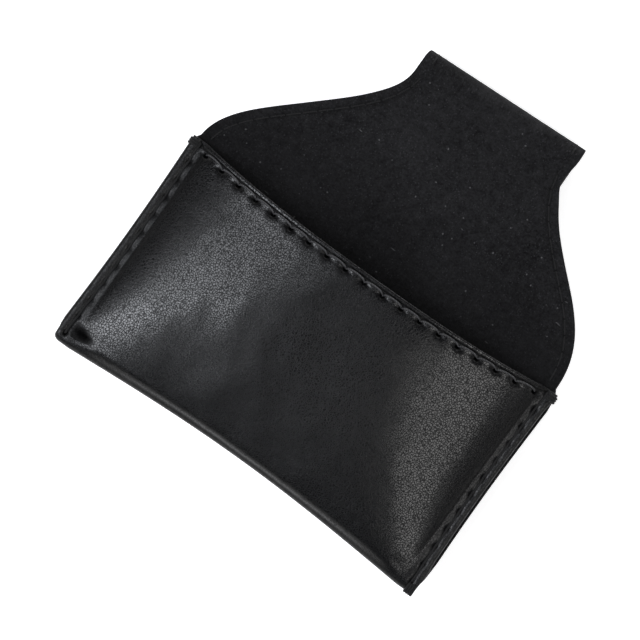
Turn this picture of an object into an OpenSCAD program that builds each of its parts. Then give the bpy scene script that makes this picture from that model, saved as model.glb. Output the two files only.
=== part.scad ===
// Pick holder: an open leather pocket for plectrums on a lined back panel. The panel narrows to a neck,
// folds over a guitar strap or belt, and its tongue snaps shut behind the pocket.
// The holder lies on its back: X across, Y up the holder, Z out of its face. Millimetres.

/* [Pocket] */
// Width of the pocket over its side edges
pocket_w = 101.4; // [90:0.2:110]
// Height of the pocket along its side edges
pocket_h = 56; // [50:1:64]
// How far the front panel swells from the back panel at the middle of the mouth
bulge = 8.5; // [6:0.5:10]
// Shape of the swelling between the bottom and the mouth: 1 is a wedge with a round top, less is fuller
fullness = 0.8; // [0.6:0.1:1.2]
// How much lower the mouth is at its middle than at its ends
mouth_sag = 2.8; // [0:0.2:4]
// How much the bottom fold is drawn up at its middle
bottom_pull = 2.2; // [0:0.2:3]
// How much the side edges are drawn in at mid height
side_pull = 0.6; // [0:0.1:1]
// Radius of the pocket's bottom corners
corner_r = 2.2; // [1.5:0.1:4]

/* [Back panel] */
// Height of the back panel from the pocket's mouth to the top of the fold
flap_h = 48.4; // [46:0.2:54]
// Width of the panel just above the mouth
shoulder_w = 99.2; // [88:0.2:99.6]
// Width of the neck
neck_w = 42.4; // [36:0.2:50]
// Height above the mouth at which the shoulders have narrowed to the neck
bell_h = 42; // [36:1:43]
// Sideways offset of the neck from the pocket's middle
neck_shift = 2.5; // [0:0.1:3]

/* [Sheet] */
// Thickness of the leather
leather_t = 1.0; // [0.8:0.1:1.2]
// Thickness of the velour lining
lining_t = 0.5; // [0.4:0.1:0.7]

/* [Strap loop] */
// Gap between the panel and the tongue, for the strap
loop_gap = 4.6; // [4.4:0.1:6]
// Height of the snap's centre above the bottom of the pocket
snap_y = 24; // [22:1:28]
// Length of tongue below the snap's centre
tongue_tip = 12; // [10:1:16]
// How much wider the tongue is at its tip than at the fold, on each side
tongue_flare = 2; // [0:0.5:4]

/* [Stitching] */
// Thickness of the thread
thread_d = 0.6; // [0.5:0.05:0.7]
// Stitch length of the mouth and the side seams
seam_pitch = 5; // [4:0.5:6]
// Stitch length round the edge of the panel and the tongue
edge_pitch = 3.7; // [3.2:0.1:5]
// Distance of the stitching from the edge
stitch_inset = 2.4; // [2:0.1:3]

/* [Snap fastener] */
// Radius of the outer cap
cap_r = 6.2; // [5.5:0.1:7]
// How far the cap stands out behind the tongue
cap_proud = 1.2; // [1:0.1:1.6]
// Radius of the stud's head
stud_r = 2.9; // [2.8:0.05:3]

/* [Hidden] */
$fn = 48;

leather_color = [0.07, 0.07, 0.08];
lining_color = [0.13, 0.13, 0.13];
thread_color = [0.22, 0.22, 0.23];
metal_color = [0.72, 0.72, 0.70];

// Heights of the layers, from the surface that the holder lies on
sheet_t = leather_t + lining_t;
z_tongue_back = cap_proud;
z_tongue_mid = z_tongue_back + lining_t;
z_tongue_top = z_tongue_mid + leather_t;
z_panel_bottom = z_tongue_top + loop_gap;
z_panel_mid = z_panel_bottom + leather_t;
z_panel_top = z_panel_mid + lining_t;
z_loop = (z_tongue_top + z_panel_bottom) / 2;

// The whole holder is centred on the origin in plan
total_h = pocket_h + flap_h;
fold_r = loop_gap / 2 + sheet_t;
y_fold = total_h - fold_r;
half_w = pocket_w / 2;

// The bottom fold holds both sheets and the slight gap between the linings
lining_gap = 0.1;
bottom_r = sheet_t + lining_gap / 2;
z_bottom = z_panel_bottom + bottom_r;
bottom_reach = 3;

// Flat strip beside each side seam, and how square the swelling is inside it
seam_strip = 3.6;
swell_w = half_w - seam_strip;
swell_square = 2.4;
swell_full = 0.9;

// Distance from the sides within which the bottom edge isn't drawn up
pull_margin = 5;

// How late the shoulders curve in: 1 is an even S, more is later
bell_lag = 1.09;

// Half the step over which an edge's direction is taken
edge_step = 0.05;

// Grid of the front panel
half_stations = 15;
stations = [for (i = [-half_stations:half_stations]) sin(90 * i / half_stations)];
fold_rows = 4;
roll_rows = 4;
top_rows = 12;

// Side edges, bottom edge and mouth of the pocket
function side_x(y) = half_w - side_pull * sin(180 * min(max(y, 0), pocket_h) / pocket_h);
function corner_y(x) =
  let (past = abs(x) - (half_w - corner_r))
  past > 0 ? corner_r - sqrt(max(0, corner_r * corner_r - past * past)) : 0;
function bottom_y(x) = corner_y(x) + bottom_pull * cos(90 * min(1, abs(x) / (half_w - pull_margin)));
function swell(x) =
  abs(x) < swell_w ? pow(1 - pow(abs(x) / swell_w, swell_square), swell_full) : 0;
function mouth_y(x) = pocket_h - mouth_sag * swell(x);

// Share of the swelling reached at a share of the way from the bottom to the mouth
function lift(rise) = pow(sin(90 * min(1, max(0, rise))), fullness);

// Half width of the panel at a height v above the mouth, and where its middle lies
function bell(v) =
  let (turn = 180 * pow(min(max(v, 0), bell_h) / bell_h, bell_lag))
  neck_w / 2 + (shoulder_w - neck_w) / 4 * (1 + cos(turn));
function lean(v) = neck_shift * (1 - cos(180 * min(max(v, 0), bell_h / 2) / (bell_h / 2))) / 2;

// A point on the panel's edge, side -1 or 1, moved inwards by inset
function edge_point(side, v) = [lean(v) + side * bell(v), pocket_h + v];
function inset_point(side, v, inset) =
  let (
    along = edge_point(side, v + edge_step) - edge_point(side, v - edge_step),
    inwards = side * [-along.y, along.x] / norm(along)
  )
  edge_point(side, v) + inset * inwards;

// A path's points, spaced evenly at about the given pitch
function lengths(path) =
  [for (i = 0, s = 0; i < len(path);
        s = s + (i < len(path) - 1 ? norm(path[i + 1] - path[i]) : 0), i = i + 1) s];
function at_length(path, along, s) =
  let (
    i = min(len(path) - 2, max([for (k = [0:len(path) - 1]) if (along[k] <= s + 1e-6) k])),
    share = (s - along[i]) / (along[i + 1] - along[i])
  )
  path[i] + share * (path[i + 1] - path[i]);
function spaced(path, pitch) =
  let (
    along = lengths(path),
    total = along[len(along) - 1],
    n = round(total / pitch)
  )
  [for (k = [0:n]) at_length(path, along, total * k / n)];

// One point of the front panel's section at station s, row j, under the given depth of sheet.
// Rows run from the back, round the bottom fold and on up to the mouth.
function section_point(s, j, depth) =
  let (
    x = s * half_w,
    y0 = bottom_y(x),
    rows_below = fold_rows + roll_rows,
    below = 90 * (j / fold_rows - 1),
    above = 90 * min(1, (j - fold_rows) / roll_rows),
    rest = max(0, (j - rows_below) / top_rows),
    low = j <= fold_rows,
    roll_y = low ? bottom_r * (1 - cos(below)) + depth * cos(below)
      : bottom_reach * (1 - cos(above)) + depth * cos(above),
    y = y0 + roll_y + rest * (mouth_y(x) - y0 - bottom_reach),
    roll_z = (bottom_r - depth) * sin(low ? below : above),
    rise = low ? 0 : (y - y0 - depth * cos(above)) / (mouth_y(x) - y0)
  )
  [s * side_x(y), y, z_bottom + roll_z + bulge * swell(x) * lift(rise)];

// Height of the front panel's outer face near the mouth
function mouth_z(x) = z_bottom + bottom_r + bulge * swell(x);

// A closed sheet between two depths of the front panel, from the given row up to the mouth
module front_sheet(depth_out, depth_in, first_row) {
  rows = fold_rows + roll_rows + top_rows - first_row + 1;
  cols = len(stations);
  skin = rows * cols;
  points = [
    for (depth = [depth_out, depth_in])
      for (j = [0:rows - 1])
        for (s = stations) section_point(s, first_row + j, depth)
  ];
  outer = [
    for (j = [0:rows - 2]) for (i = [0:cols - 2])
      let (a = j * cols + i)
      each [[a, a + cols, a + 1], [a + 1, a + cols, a + cols + 1]]
  ];
  inner = [for (f = outer) [f[0] + skin, f[2] + skin, f[1] + skin]];
  row_ends = [
    for (j = [0, rows - 1]) for (i = [0:cols - 2])
      let (a = j * cols + i, b = a + 1)
      each j == 0 ? [[a, b, b + skin], [a, b + skin, a + skin]]
                  : [[b, a, a + skin], [b, a + skin, b + skin]]
  ];
  sides = [
    for (i = [0, cols - 1]) for (j = [0:rows - 2])
      let (a = j * cols + i, b = a + cols)
      each i == 0 ? [[b, a, a + skin], [b, a + skin, b + skin]]
                  : [[a, b, b + skin], [a, b + skin, a + skin]]
  ];
  polyhedron(points, concat(outer, inner, row_ends, sides), convexity = 6);
}

// Outline of the back panel, from the bottom fold to the neck
module panel_outline() {
  side_steps = 8;
  bell_steps = 24;
  bottom = [for (s = stations) let (x = s * half_w, y = bottom_y(x) + bottom_r) [s * side_x(y), y]];
  low = bottom_y(half_w) + bottom_r;
  side = [for (k = [1:side_steps]) low + (pocket_h - low) * k / side_steps];
  neck_v = y_fold - pocket_h;
  rise = [for (k = [0:bell_steps]) neck_v * k / bell_steps];
  polygon(concat(
    bottom,
    [for (y = side) [side_x(y), y]],
    [for (v = rise) edge_point(1, v)],
    [for (k = [bell_steps:-1:0]) edge_point(-1, rise[k])],
    [for (k = [side_steps - 1:-1:0]) [-side_x(side[k]), side[k]]]
  ));
}

module snap_hole(r) {
  translate([neck_shift, snap_y, -1]) cylinder(h = z_panel_top + 2, r = r);
}

module on_surface() {
  translate([0, -total_h / 2, 0]) children();
}

/* Sheets of the pocket and the back panel */

module front_leather() {
  color(leather_color) front_sheet(0, leather_t, 0);
}

module front_lining() {
  color(lining_color) front_sheet(leather_t, sheet_t, fold_rows);
}

module back_leather() {
  color(leather_color) difference() {
    translate([0, 0, z_panel_bottom]) linear_extrude(leather_t) panel_outline();
    snap_hole(shank_r + shank_play);
  }
}

module back_lining() {
  color(lining_color) difference() {
    translate([0, 0, z_panel_mid]) linear_extrude(lining_t) panel_outline();
    snap_hole(shank_r + shank_play);
    // The post's flange presses the pile down
    translate([neck_shift, snap_y, z_panel_top - post_sink])
      cylinder(h = lining_t, r = post_flange_r + shank_play);
  }
}

/* Fold over the strap: half a turn of the sheet about the loop's centre line */

module half_turn(r_in, r_out, width) {
  translate([neck_shift - width / 2, y_fold, z_loop])
    rotate([90, 0, 90]) linear_extrude(width) difference() {
      circle(r = r_out);
      circle(r = r_in);
      translate([-2 * r_out, -2 * r_out]) square([2 * r_out, 4 * r_out]);
    }
}

module fold_leather() {
  color(leather_color) half_turn(loop_gap / 2, loop_gap / 2 + leather_t, neck_w);
}

module fold_lining() {
  color(lining_color) half_turn(loop_gap / 2 + leather_t, fold_r, neck_w);
}

/* Tongue behind the pocket */

tongue_end = snap_y - tongue_tip;
tongue_corner = 9;

// Half width of the tongue at height y
function tongue_x(y) = neck_w / 2 + tongue_flare * (y_fold - y) / (y_fold - tongue_end);

// Points of the tongue's outline moved inwards by inset, from one end of the fold round to the other
function tongue_edge(inset) =
  let (
    r = tongue_corner - inset,
    cy = tongue_end + tongue_corner,
    cx = tongue_x(cy) - tongue_corner,
    turn = [for (a = [0:15:90]) a]
  )
  concat(
    [[neck_shift + neck_w / 2 - inset, y_fold]],
    [for (a = turn) [neck_shift + cx + r * cos(a), cy - r * sin(a)]],
    [for (k = [len(turn) - 1:-1:0]) [neck_shift - cx - r * cos(turn[k]), cy - r * sin(turn[k])]],
    [[neck_shift - neck_w / 2 + inset, y_fold]]
  );

module tongue_leather() {
  color(leather_color) difference() {
    translate([0, 0, z_tongue_mid]) linear_extrude(leather_t) polygon(tongue_edge(0));
    snap_hole(shank_r + shank_play);
  }
}

module tongue_lining() {
  color(lining_color) difference() {
    translate([0, 0, z_tongue_back]) linear_extrude(lining_t) polygon(tongue_edge(0));
    snap_hole(shank_r + shank_play);
    // The cap's rim presses the pile down
    translate([neck_shift, snap_y, z_tongue_back - lining_t])
      cylinder(h = lining_t + cap_sink, r = cap_r + shank_play);
  }
}

/* Stitches. Each one is a closed link of thread round the sheets that it holds. */

stitch_gap = 0.06;
leg = 0.4;
leather_proud = 0.15;
lining_sink = 0.05;

// A side seam's first hole above the bottom, its last below the mouth, and the stitch over the mouth's end
seam_low = 2.5;
seam_top_gap = 0.8;
wrap_rise = 0.2;
wrap_run = 1.6;

// Height above the mouth at which the panel's edge stitching starts
edge_start = 2;

// A link from p to q, standing up above the points and reaching down below them
module stitch(p, q, up, down) {
  d = q - p;
  run = norm(d);
  bar = run - 2 * stitch_gap;
  translate(p) rotate([0, -asin(d.z / run), atan2(d.y, d.x)]) rotate([90, 0, 0])
    translate([stitch_gap, -down, -thread_d / 2]) linear_extrude(thread_d) difference() {
      square([bar, up + down]);
      translate([leg, thread_d]) square([bar - 2 * leg, up + down - 2 * thread_d]);
    }
}

module run_of_stitches(points, up, down) {
  for (k = [0:len(points) - 2]) stitch(points[k], points[k + 1], up, down);
}

function raised(points, z) = [for (p = points) [p.x, p.y, z]];

module mouth_thread() {
  reach = half_w - 2 * stitch_inset;
  n = round(2 * reach / seam_pitch);
  points = [
    for (k = [0:n]) let (x = -reach + 2 * reach * k / n) [x, mouth_y(x) - stitch_inset, mouth_z(x)]
  ];
  color(thread_color) run_of_stitches(points, leather_proud, sheet_t - lining_sink);
}

// A side seam, with its last stitch carried over the mouth's edge
module side_seam(side) {
  seam_high = pocket_h - seam_top_gap;
  n = round((seam_high - seam_low) / seam_pitch);
  points = [
    for (k = [0:n]) let (y = seam_low + (seam_high - seam_low) * k / n)
      [side * (side_x(y) - stitch_inset), y, z_bottom + bottom_r]
  ];
  top = points[n];
  over_edge = [side * (half_w - stitch_inset / 2), top.y + wrap_rise, top.z];
  color(thread_color) {
    run_of_stitches(points, leather_proud, 2 * bottom_r + leather_proud);
    stitch(over_edge, over_edge + [0, wrap_run, 0], leather_proud, 2 * bottom_r + leather_proud);
  }
}

module left_seam_thread() {
  side_seam(-1);
}

module right_seam_thread() {
  side_seam(1);
}

module panel_edge_thread() {
  neck_v = y_fold - pocket_h;
  steps = 60;
  color(thread_color) for (side = [-1, 1]) {
    path = [for (k = [0:steps]) inset_point(side, edge_start + (neck_v - edge_start) * k / steps, stitch_inset)];
    run_of_stitches(raised(spaced(path, edge_pitch), z_panel_top), -lining_sink, sheet_t + leather_proud);
  }
}

module fold_thread() {
  count = 3;
  r = loop_gap / 2 + sheet_t - lining_sink;
  half = 90 / count;
  chord = 2 * (r - thread_d) * sin(half) - 2 * stitch_gap;
  color(thread_color) for (side = [-1, 1], k = [0:count - 1])
    translate([neck_shift + side * (neck_w / 2 - stitch_inset), y_fold, z_loop])
      rotate([90 - 2 * half * (k + 0.5), 0, 0]) rotate([90, 0, 90])
        translate([0, 0, -thread_d / 2]) linear_extrude(thread_d)
          translate([r * cos(half) - thread_d, -chord / 2]) square([thread_d, chord]);
}

module tongue_thread() {
  path = tongue_edge(stitch_inset);
  color(thread_color)
    run_of_stitches(raised(spaced(path, edge_pitch), z_tongue_top), leather_proud, sheet_t - lining_sink);
}

/* Snap fastener: cap and socket on the tongue, stud and post on the panel */

shank_r = 1.6;
shank_bore = 1.1;
shank_play = 0.1;
cap_sink = 0.3;
cap_edge = 1.3;
socket_r = 5.4;
socket_h = 3.3;
socket_floor = 0.6;
socket_play = 0.2;
socket_mouth_r = stud_r + socket_play;
spring_r = 0.35;
spring_seat = 0.05;
spring_drop = 1.6;
groove_low = socket_h - spring_drop;
stud_flange_r = 5;
stud_flange_t = 0.7;
stud_drop = 3.1;
stud_neck_r = stud_r - 0.5;
stud_neck_h = 0.8;
stud_wall = 0.5;
stud_hollow_r = 1.9;
post_flange_r = 4.6;
post_flange_t = 0.6;
post_sink = 0.2;
post_edge = 0.4;
post_roll_w = 0.2;
post_roll_h = 0.3;
rolled = 0.5;

module at_snap(z) {
  translate([neck_shift, snap_y, z]) children();
}

// Cap: a low dome with a tubular shank rolled over inside the socket
module snap_cap() {
  top = z_tongue_back + cap_sink;
  shank_top = z_tongue_top + socket_floor + rolled;
  color(metal_color) at_snap(0) rotate_extrude() polygon([
    [0, 0], [cap_r - cap_edge, 0], [cap_r - cap_edge / 3, cap_edge / 5],
    [cap_r, cap_edge / 2], [cap_r, top], [shank_r, top],
    [shank_r, z_tongue_top + socket_floor], [shank_r + rolled, z_tongue_top + socket_floor],
    [shank_r + rolled, shank_top], [shank_bore, shank_top], [shank_bore, top - rolled], [0, top - rolled]
  ]);
}

// Socket: a cup with a groove inside its rim for the ring spring
module snap_socket() {
  groove_r = socket_mouth_r + 2 * spring_r + spring_seat;
  color(metal_color) at_snap(z_tongue_top) difference() {
    cylinder(h = socket_h, r = socket_r);
    translate([0, 0, -1]) cylinder(h = socket_h, r = shank_r + shank_play);
    translate([0, 0, socket_floor]) cylinder(h = socket_h, r = socket_mouth_r);
    translate([0, 0, groove_low]) cylinder(h = 2 * (spring_r + spring_seat), r = groove_r);
  }
}

module snap_spring() {
  z = z_tongue_top + groove_low + spring_r + spring_seat;
  color(metal_color) at_snap(z) rotate_extrude()
    translate([socket_mouth_r + spring_r, 0]) circle(r = spring_r, $fn = 24);
}

// Stud: a hollow ball head on a flange against the panel's leather
module snap_stud() {
  neck = -stud_flange_t - stud_neck_h;
  head = neck - stud_wall;
  step = stud_r - stud_neck_r;
  belly_r = stud_neck_r - (stud_neck_r - stud_hollow_r) / 4;
  color(metal_color) at_snap(z_panel_bottom) rotate_extrude() polygon([
    [shank_r + shank_play, 0], [stud_flange_r, 0], [stud_flange_r, -stud_flange_t],
    [stud_neck_r, -stud_flange_t], [stud_neck_r, neck],
    [stud_r, head], [stud_r, -stud_drop + step], [stud_r - step, -stud_drop],
    [0, -stud_drop], [0, -stud_drop + stud_wall], [belly_r, -stud_drop + stud_wall],
    [belly_r, head], [stud_hollow_r, neck], [stud_hollow_r, -stud_flange_t],
    [shank_r + shank_play, -stud_flange_t]
  ]);
}

// Post: an eyelet inside the pocket, with its shank rolled over inside the stud
module snap_post() {
  low = z_panel_bottom - stud_flange_t;
  roll_r = shank_r + post_roll_w;
  flange = z_panel_top - post_sink;
  top = flange + post_flange_t;
  color(metal_color) at_snap(0) rotate_extrude() polygon([
    [shank_bore, low - post_roll_h], [roll_r, low - post_roll_h], [roll_r, low], [shank_r, low],
    [shank_r, flange], [post_flange_r, flange], [post_flange_r, flange + post_flange_t / 2],
    [post_flange_r - post_edge, top], [shank_bore + post_edge, top],
    [shank_bore, flange + post_flange_t / 2]
  ]);
}

on_surface() front_leather();
on_surface() front_lining();
on_surface() back_leather();
on_surface() back_lining();
on_surface() mouth_thread();
on_surface() left_seam_thread();
on_surface() right_seam_thread();
on_surface() panel_edge_thread();
on_surface() fold_leather();
on_surface() fold_lining();
on_surface() fold_thread();
on_surface() tongue_leather();
on_surface() tongue_lining();
on_surface() tongue_thread();
on_surface() snap_cap();
on_surface() snap_socket();
on_surface() snap_spring();
on_surface() snap_stud();
on_surface() snap_post();
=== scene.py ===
"""Pick holder: a leather pocket with a velour lining, hand stitched, whose neck folds over a strap.

The leather is one sheet: down the pocket's front, round the bottom fold, up the back, over the top fold and
down the tongue. The velour lines it all the way. Metres, in the CAD model's frame: X across, Y up the holder,
Z out of its face.
"""
import math

import bpy
import numpy as np
from mathutils import Matrix, Vector, noise


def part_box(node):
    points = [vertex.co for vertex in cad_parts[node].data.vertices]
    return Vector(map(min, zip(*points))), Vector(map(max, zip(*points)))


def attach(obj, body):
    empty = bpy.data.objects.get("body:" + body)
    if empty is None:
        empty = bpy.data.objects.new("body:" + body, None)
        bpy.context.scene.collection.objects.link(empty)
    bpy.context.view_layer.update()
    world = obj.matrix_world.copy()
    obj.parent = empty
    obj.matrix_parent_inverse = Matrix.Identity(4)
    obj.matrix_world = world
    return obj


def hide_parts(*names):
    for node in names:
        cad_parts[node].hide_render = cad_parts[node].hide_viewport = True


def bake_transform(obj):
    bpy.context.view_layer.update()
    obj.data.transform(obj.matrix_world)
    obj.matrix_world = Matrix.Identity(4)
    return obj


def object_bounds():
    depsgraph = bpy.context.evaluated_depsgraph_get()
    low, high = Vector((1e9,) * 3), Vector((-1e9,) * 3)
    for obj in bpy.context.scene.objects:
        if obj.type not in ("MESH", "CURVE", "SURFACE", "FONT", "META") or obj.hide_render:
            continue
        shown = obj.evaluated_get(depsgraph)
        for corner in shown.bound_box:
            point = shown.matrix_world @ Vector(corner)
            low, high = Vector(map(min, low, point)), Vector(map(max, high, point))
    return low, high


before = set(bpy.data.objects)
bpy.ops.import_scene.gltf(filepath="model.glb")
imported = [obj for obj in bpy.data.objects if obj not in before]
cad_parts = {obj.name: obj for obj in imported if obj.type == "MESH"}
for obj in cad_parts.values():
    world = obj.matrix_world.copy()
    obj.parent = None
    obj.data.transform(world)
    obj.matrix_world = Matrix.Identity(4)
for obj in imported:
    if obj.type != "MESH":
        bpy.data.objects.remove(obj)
CAD_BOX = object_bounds()
MM = 0.001


def node_box(name):
    """The low and the high corner of a node's box."""
    low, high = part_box(name)
    return np.array(low, float), np.array(high, float)


# ---------------------------------------------------------------- places and sizes, from the frame

FRONT_LO, FRONT_HI = node_box("front_leather")
BACK_LO, BACK_HI = node_box("back_leather")
LINING_LO, LINING_HI = node_box("back_lining")
FOLD_LO, FOLD_HI = node_box("fold_leather")
TONGUE_LO, TONGUE_HI = node_box("tongue_leather")

HALF_W = FRONT_HI[0]
Y_BOTTOM = FRONT_LO[1]
Y_MOUTH = FRONT_HI[1]
Y_FOLD = BACK_HI[1]
LEATHER_T = BACK_HI[2] - BACK_LO[2]
LINING_T = LINING_HI[2] - LINING_LO[2]
SHEET_T = LEATHER_T + LINING_T
Z_BACK = BACK_LO[2]
LINING_GAP = 0.1 * MM
BOTTOM_R = SHEET_T + LINING_GAP / 2
Z_ROLL = Z_BACK + BOTTOM_R
Z_STRIP = Z_ROLL + BOTTOM_R
BULGE = FRONT_HI[2] - Z_ROLL - BOTTOM_R
LOOP_R = (FOLD_HI[2] - FOLD_LO[2]) / 2 - LEATHER_T
Z_LOOP = (FOLD_HI[2] + FOLD_LO[2]) / 2
Z_TONGUE = TONGUE_HI[2]
NECK_HALF = (FOLD_HI[0] - FOLD_LO[0]) / 2
NECK_X = (FOLD_HI[0] + FOLD_LO[0]) / 2
TIP_HALF = (TONGUE_HI[0] - TONGUE_LO[0]) / 2
Y_TIP = TONGUE_LO[1]

# Shape of the pocket, as in the CAD model
CORNER_R = 2.2 * MM
BOTTOM_PULL = 2.2 * MM
BOTTOM_PULL_HALF = HALF_W - 5 * MM
BOTTOM_REACH = 3 * MM
SIDE_PULL = 0.6 * MM
MOUTH_SAG = 2.8 * MM
FULLNESS = 0.8
SWELL_HALF = HALF_W - 3.6 * MM
SWELL_SQUARE = 2.4
SWELL_FULL = 0.9
SHOULDER_HALF = 49.6 * MM
BELL_H = 42 * MM
BELL_LAG = 1.09
TIP_CORNER = 9 * MM

# Where the pocket's shape is eased: squarer low down, flat in the bottom corners, a step at the mouth's ends
LOW_SQUARE = 4.5
CORNER_FLAT = 1.2 * MM
CORNER_SPAN = 2.6 * MM
MOUTH_STEP = 1.6 * MM

# What the making left uneven, within a millimetre of the CAD model
FOLD_SKEW = 0.045
PANEL_SKEW_REACH = 14 * MM
TONGUE_SKEW_REACH = 30 * MM
FOLD_CORNER_LEFT = 2.9 * MM
FOLD_CORNER_RIGHT = 0.6 * MM
NECK_TRIM = 0.9 * MM
NECK_TRIM_DOWN = 5.5 * MM
NECK_TRIM_SPAN = 3 * MM
LAYER_SHIFT = 0.35 * MM
LAYER_START, LAYER_RISE = 3 * MM, 7 * MM
LAYER_END, LAYER_FALL = 5 * MM, 4 * MM
LAYER_EDGE_POWER = 8

# How the front wavers: height, size and seed of each kind of wave
FACE_WAVES = ((0.30 * MM, 19 * MM, 1), (0.10 * MM, 6 * MM, 2))
SEAM_SEED = 4
PILE_SEED = 5

# Stitching
THREAD_R = 0.30 * MM
MOUTH_THREAD_R = 0.20 * MM
EDGE_THREAD_R = 0.20 * MM
SEAM_PITCH = 5 * MM
EDGE_PITCH = 3.7 * MM
INSET = 2.4 * MM
MOUTH_INSET = 2.25 * MM
SEAM_FOOT, SEAM_HEAD = 2.5 * MM, 0.8 * MM
EDGE_START = 1.5 * MM
PANEL_EDGE_POINTS = 90
TONGUE_EDGE_POINTS = 40
LIP = 1.2 * MM

# Rows and columns of the sheet. In a stitch they lie at these shares of it, crowded round the holes
STITCH_SHARES = (0, 0.07, 0.16, 0.38, 0.62, 0.84, 0.93)
STRIP_COLUMNS = 12
# Rows under the lip of the mouth, in mm, crowded at the hem's groove and at its holes
LIP_ROWS = (0, 0.1, 0.22, 0.4, 0.6, 0.8, 0.95, 1.07, 1.2, 1.33,
            1.48, 1.65, 1.83, 2.0, 2.25, 2.5, 2.7, 3.0, 3.4, 3.9)
LIP_BAND = 4.2 * MM
ROLL_ROWS = 11
TUCK_ROWS = 10
PANEL_ROWS = 46
FOLD_ROWS = 18
TONGUE_ROWS = 61
TIP_ROWS = 11
# The tongue's first row, counted from the sheet's end
TONGUE_START = -(TONGUE_ROWS + TIP_ROWS)
# Rows of the back, from its lowest, that the side seams press, and those that the edge stitching presses
SEAMED_ROWS = (0, 74)
EDGED_ROWS = (60, 119)


# ---------------------------------------------------------------- the sheet's surface

def smooth(t):
    """Eases from 0 to 1."""
    t = np.clip(t, 0, 1)
    return t * t * (3 - 2 * t)


def turns(start, end, count):
    """Angles after start, as far as end, given in degrees and returned in radians."""
    return np.radians(np.linspace(start, end, count + 1)[1:])


def side_x(y):
    """Half width of the pocket at height y: its sides are drawn in a little."""
    rise = np.clip((y - Y_BOTTOM) / (Y_MOUTH - Y_BOTTOM), 0, 1)
    return HALF_W - SIDE_PULL * np.sin(np.pi * rise)


def bottom_y(x):
    """Height of the pocket's bottom edge, which has rounded ends and is drawn up in the middle."""
    past = np.clip(np.abs(x) - (HALF_W - CORNER_R), 0, CORNER_R)
    corner = CORNER_R - np.sqrt(CORNER_R**2 - past**2)
    pull = BOTTOM_PULL * np.cos(np.pi / 2 * np.minimum(1, np.abs(x) / BOTTOM_PULL_HALF))
    return Y_BOTTOM + corner + pull


def swell(x, rise=1.0):
    """Share of the swelling across the pocket. Low down it is squarer, and steeper at the side seams."""
    square = SWELL_SQUARE + LOW_SQUARE * (1 - rise) ** 2
    inside = 1 - np.minimum(1, np.abs(x) / SWELL_HALF) ** square
    return inside**SWELL_FULL


def lift(rise):
    """Share of the swelling reached at a share of the way from the bottom to the mouth."""
    return np.sin(np.pi / 2 * np.clip(rise, 0, 1)) ** FULLNESS


def mouth_y(x):
    """Height of the front's lip, which sags as the front swells."""
    return Y_MOUTH - MOUTH_SAG * swell(x)


def bell(y):
    """Half width of the back panel above the mouth, and where its middle lies."""
    v = np.clip(y - Y_MOUTH, 0, BELL_H)
    half = NECK_HALF + (SHOULDER_HALF - NECK_HALF) / 2 * (1 + np.cos(np.pi * (v / BELL_H) ** BELL_LAG))
    lean = NECK_X * (1 - np.cos(np.pi * np.minimum(v, BELL_H / 2) / (BELL_H / 2))) / 2
    return half, lean


def panel_edges(y):
    """Left and right edges of the back panel at height y."""
    half, lean = bell(y)
    above = smooth((y - Y_MOUTH) / MOUTH_STEP + 0.5)
    side = side_x(y)
    left = (1 - above) * -side + above * (lean - half)
    right = (1 - above) * side + above * (lean + half)
    return left, right


def tongue_half(y):
    """Half width of the tongue, from the neck's width at the fold to the corners of its tip."""
    straight = NECK_HALF + (TIP_HALF - NECK_HALF) * (Y_FOLD - y) / (Y_FOLD - Y_TIP)
    past = np.clip(Y_TIP + TIP_CORNER - y, 0, TIP_CORNER)
    return straight - TIP_CORNER + np.sqrt(TIP_CORNER**2 - past**2)


def columns():
    """Positions from -1 to 1 across the sheet, crowded round the mouth's holes and in the side strips."""
    reach = HALF_W - 2 * INSET
    count = round(2 * reach / SEAM_PITCH)
    inner = [-reach + (k + share) * 2 * reach / count for k in range(count) for share in STITCH_SHARES]
    strip = np.linspace(reach, HALF_W, STRIP_COLUMNS)
    return np.concatenate([-strip[::-1], inner[1:], strip]) / HALF_W


def seam_heights():
    """Heights of the side seams' holes, from the lowest."""
    low, high = Y_BOTTOM + SEAM_FOOT, Y_MOUTH - SEAM_HEAD
    return np.linspace(low, high, round((high - low) / SEAM_PITCH) + 1)


def seam_rows(low, high):
    """Heights of rows between low and high, crowded round the side seams' holes."""
    holes = seam_heights()
    rows = [a + share * (b - a) for a, b in zip(holes[:-1], holes[1:]) for share in STITCH_SHARES]
    return np.array([y for y in rows if low < y < high])


def corner_fill(x, above):
    """The front lies flat in the pocket's bottom corners."""
    inside = np.maximum(0, SWELL_HALF - np.abs(x))
    return 1 - np.exp(-inside * np.maximum(above - CORNER_FLAT, 0) / CORNER_SPAN**2)


def layered(y):
    """Share, along the side seams, by which the back panel shows beyond the front."""
    begun = smooth((y - Y_BOTTOM - LAYER_START) / LAYER_RISE)
    ended = smooth((y - Y_MOUTH + LAYER_END) / LAYER_FALL)
    return begun * (1 - ended)


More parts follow.
